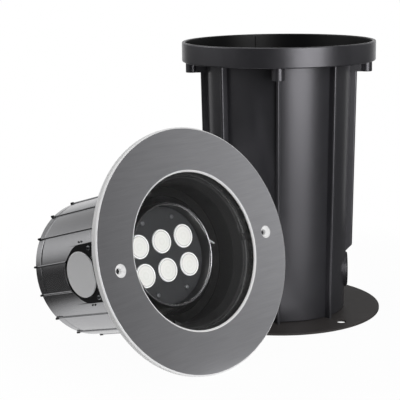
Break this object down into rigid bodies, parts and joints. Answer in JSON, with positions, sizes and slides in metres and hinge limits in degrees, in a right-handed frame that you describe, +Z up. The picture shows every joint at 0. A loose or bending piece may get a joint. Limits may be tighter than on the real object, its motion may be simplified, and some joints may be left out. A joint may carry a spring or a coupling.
{
  "type": "in ground well light",
  "caption": "In ground well light: a ribbed canister with a base plate and, out of it, a lamp with a brushed cover ring, glass and an aimable light unit.",
  "frame": {"origin": "centre of the canister's underside, in the plane that the base plate stands on", "axes": "+Z up along the canister's axis, out of its mouth; -Y towards the viewer of the picture; +X to the viewer's right"},
  "size_m": [0.333, 0.3811, 0.276],
  "materials": {
    "canister_plastic": "moulded black polyamide, satin",
    "base_plate_paint": "black-brown powder coat on sheet steel",
    "screw_steel": "stainless steel",
    "insert_brass": "turned",
    "bush_rubber": "moulded, matt",
    "ring_stainless": "stainless steel, brushed in one direction",
    "clear_glass": "tempered, polished",
    "seal_rubber": "silicone, matt",
    "liner_black": "moulded, matt black",
    "clip_plastic": "moulded, matt black",
    "housing_paint": "graphite paint on die-cast aluminium, half gloss",
    "port_plate_plastic": "moulded, satin",
    "disc_aluminium": "light grey, satin",
    "track_acetal": "turned acetal",
    "driver_case": "moulded",
    "terminal_plastic": "moulded",
    "gland_polyamide": "moulded",
    "gimbal_aluminium": "black paint on aluminium",
    "pin_steel": "turned stainless steel",
    "cup_anodised": "black anodised, with a bright turned rim",
    "lens_plate_grey": "dark grey powder coat",
    "lens_screw_steel": "blackened steel",
    "board_white": "solder mask on an aluminium-core board",
    "led_phosphor": "phosphor under silicone",
    "sink_aluminium": "extruded",
    "lens_acrylic": "pearly, with fine rings"
  },
  "bodies": {
    "canister": {"canister": "canister_plastic", "base_plate": "base_plate_paint", "plate_screws": "screw_steel", "lug_inserts": "insert_brass", "conduit_bush_right": "bush_rubber", "conduit_bush_left": "bush_rubber"},
    "lamp": {"cover_ring": "ring_stainless", "glass": "clear_glass", "glass_gasket": "seal_rubber", "liner": "liner_black", "liner_clips": "clip_plastic", "housing": "housing_paint", "ring_screws": "screw_steel", "port_plate": "port_plate_plastic", "port_screws": "screw_steel", "port_gasket": "seal_rubber", "port_disc": "disc_aluminium", "gimbal_track": "track_acetal", "rear_cap": "housing_paint", "cap_seal": "seal_rubber", "cap_screws": "screw_steel", "driver": "driver_case", "driver_screws": "screw_steel", "terminal_block": "terminal_plastic", "gland_body": "gland_polyamide", "gland_seal": "seal_rubber", "gland_nut": "gland_polyamide", "gland_locknut": "gland_polyamide"},
    "gimbal": {"gimbal_ring": "gimbal_aluminium", "pivot_pins": "pin_steel"},
    "light_unit": {"led_cup": "cup_anodised", "tilt_pointer": "pin_steel", "lens_plate": "lens_plate_grey", "lens_screws": "lens_screw_steel", "led_board": "board_white", "leds": "led_phosphor", "heat_sink": "sink_aluminium", "sink_screws": "screw_steel", "lens_1": "lens_acrylic", "lens_2": "lens_acrylic", "lens_3": "lens_acrylic", "lens_4": "lens_acrylic", "lens_5": "lens_acrylic", "lens_6": "lens_acrylic"}
  },
  "joints": [
    {"name": "lamp_lift", "type": "slide", "parent": "canister", "child": "lamp", "axis": [0, 0, 1], "range_m": [0, 0.3]},
    {"name": "gimbal_turn", "type": "hinge", "parent": "lamp", "child": "gimbal", "pos_m": [-0.10619, -0.16165, 0.09349], "axis": [0.7042, -0.6544, 0.2755], "range_deg": [-177, 177]},
    {"name": "unit_tilt", "type": "hinge", "parent": "gimbal", "child": "light_unit", "pos_m": [-0.10619, -0.16165, 0.09349], "axis": [0.6763, 0.7363, 0.0201], "range_deg": [-15, 15]}
  ]
}
